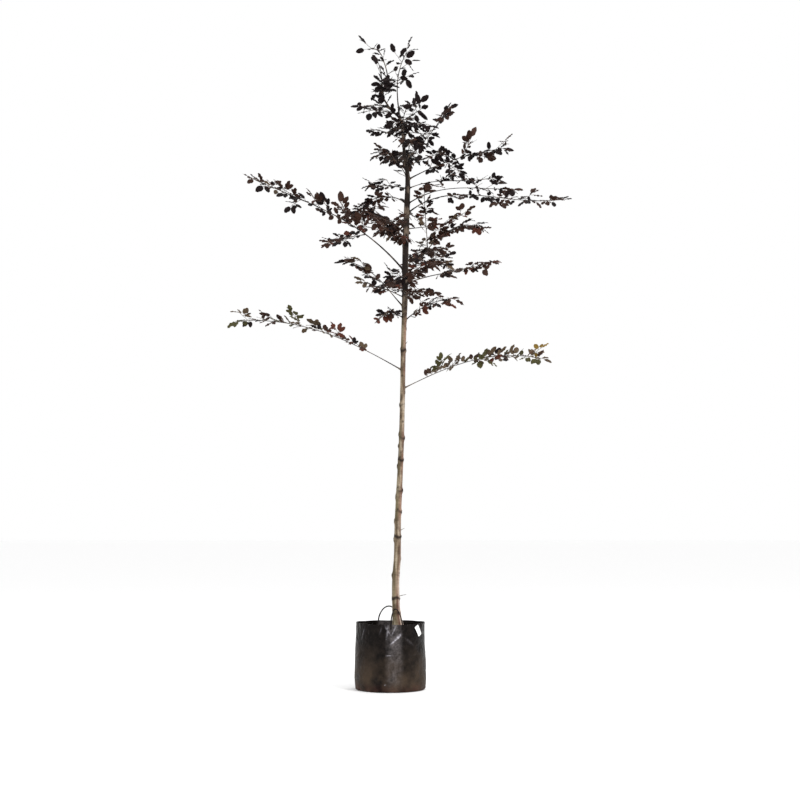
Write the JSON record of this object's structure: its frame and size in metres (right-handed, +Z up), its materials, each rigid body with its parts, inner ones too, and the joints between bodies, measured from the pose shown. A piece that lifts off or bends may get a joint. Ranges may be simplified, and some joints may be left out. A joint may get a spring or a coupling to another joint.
{
  "type": "copper beech tree",
  "caption": "Young copper beech with a clear stem and a light, tiered crown of purple leaves, standing in a filled black film grow bag with carrying handles.",
  "frame": {"origin": "centre of the bag's flat underside, on the surface that it stands on", "axes": "+Z up along the stem; +X to the right and -Y to the front as the tree is mostly seen, so the two longest low branches run along X"},
  "size_m": [1.9153, 1.2203, 3.5772],
  "materials": {
    "bag_film": "creased black polyethylene film, dusty, with soft highlights",
    "handle_film": "folded black film strap, soft highlights",
    "tag_card": "blank white plastic card",
    "compost": "rough dark bark compost",
    "stem_bark": "smooth grey-tan bark with dark knots, darker towards the crown",
    "bough_bark": "smooth dark brown bark",
    "foliage": "dark purple leaves on thin brown twigs, satin"
  },
  "bodies": {
    "root": {"bag": "bag_film", "bough_fan_right": "bough_bark", "bough_fine_right": "bough_bark", "bough_flat_right": "bough_bark", "bough_fork_right": "bough_bark", "bough_leader_right": "bough_bark", "bough_long_left": "bough_bark", "bough_long_right": "bough_bark", "bough_low_left": "bough_bark", "bough_low_right": "bough_bark", "bough_lower_right": "bough_bark", "bough_red_left": "bough_bark", "bough_tall_right": "bough_bark", "bough_twig_right": "bough_bark", "compost": "compost", "handle_back": "handle_film", "handle_front": "handle_film", "leaves_back_low": "foliage", "leaves_dense_back": "foliage", "leaves_dense_front": "foliage", "leaves_dense_right": "foliage", "leaves_fan_right": "foliage", "leaves_fine_right": "foliage", "leaves_flat_right": "foliage", "leaves_fork_right": "foliage", "leaves_fray_left": "foliage", "leaves_hedge_left": "foliage", "leaves_hook_left": "foliage", "leaves_knob_back": "foliage", "leaves_knob_front": "foliage", "leaves_knot_back": "foliage", "leaves_knot_front": "foliage", "leaves_last_right": "foliage", "leaves_leader_right": "foliage", "leaves_leader_tip": "foliage", "leaves_level_left": "foliage", "leaves_long_left": "foliage", "leaves_long_right": "foliage", "leaves_low_left": "foliage", "leaves_low_right": "foliage", "leaves_lower_right": "foliage", "leaves_mid_back": "foliage", "leaves_mid_front": "foliage", "leaves_pad_left": "foliage", "leaves_pad_right": "foliage", "leaves_plume_back": "foliage", "leaves_plume_front": "foliage", "leaves_red_left": "foliage", "leaves_shoot_left": "foliage", "leaves_short_right": "foliage", "leaves_steep_left": "foliage", "leaves_tall_right": "foliage", "leaves_tuft_back": "foliage", "leaves_tuft_left": "foliage", "leaves_tuft_low": "foliage", "leaves_tuft_right": "foliage", "leaves_twig_left": "foliage", "leaves_twig_right": "foliage", "stem": "stem_bark", "tag": "tag_card"}
  },
  "joints": []
}
